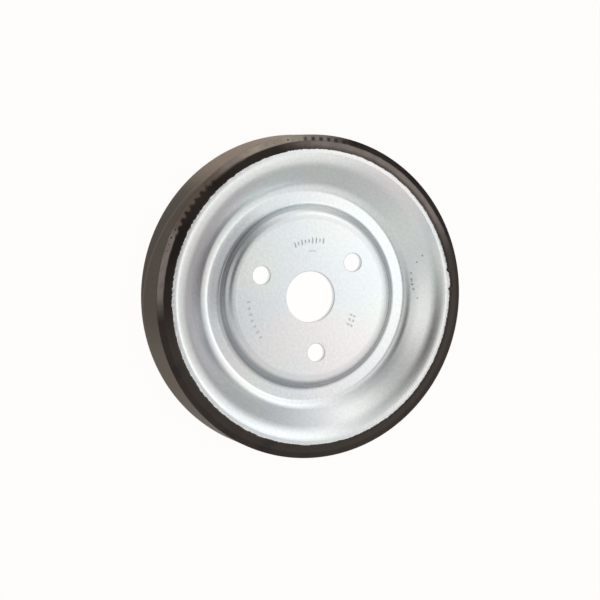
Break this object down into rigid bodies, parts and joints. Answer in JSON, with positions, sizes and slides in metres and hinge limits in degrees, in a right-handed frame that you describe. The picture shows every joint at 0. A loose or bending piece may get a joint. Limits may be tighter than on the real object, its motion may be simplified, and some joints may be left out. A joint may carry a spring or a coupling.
{
  "type": "water pump pulley",
  "caption": "Pressed steel friction pulley with a moulded rubber tread, a central bore and a bolt circle in a raised hub.",
  "frame": {"origin": "centre of the bore on the hub's rear seating face", "axes": "+Z along the bore axis, out of the pulley's front; +X and +Y span the hub face, with the first bolt hole 36.3 degrees from +X"},
  "size_m": [0.12, 0.12, 0.0233],
  "materials": {
    "zinc_plated_steel": "satin clear zinc plating",
    "tread_rubber": "smooth moulded black rubber"
  },
  "bodies": {
    "root": {"pressed_steel_disc": "zinc_plated_steel", "rubber_tread": "tread_rubber"}
  },
  "joints": []
}
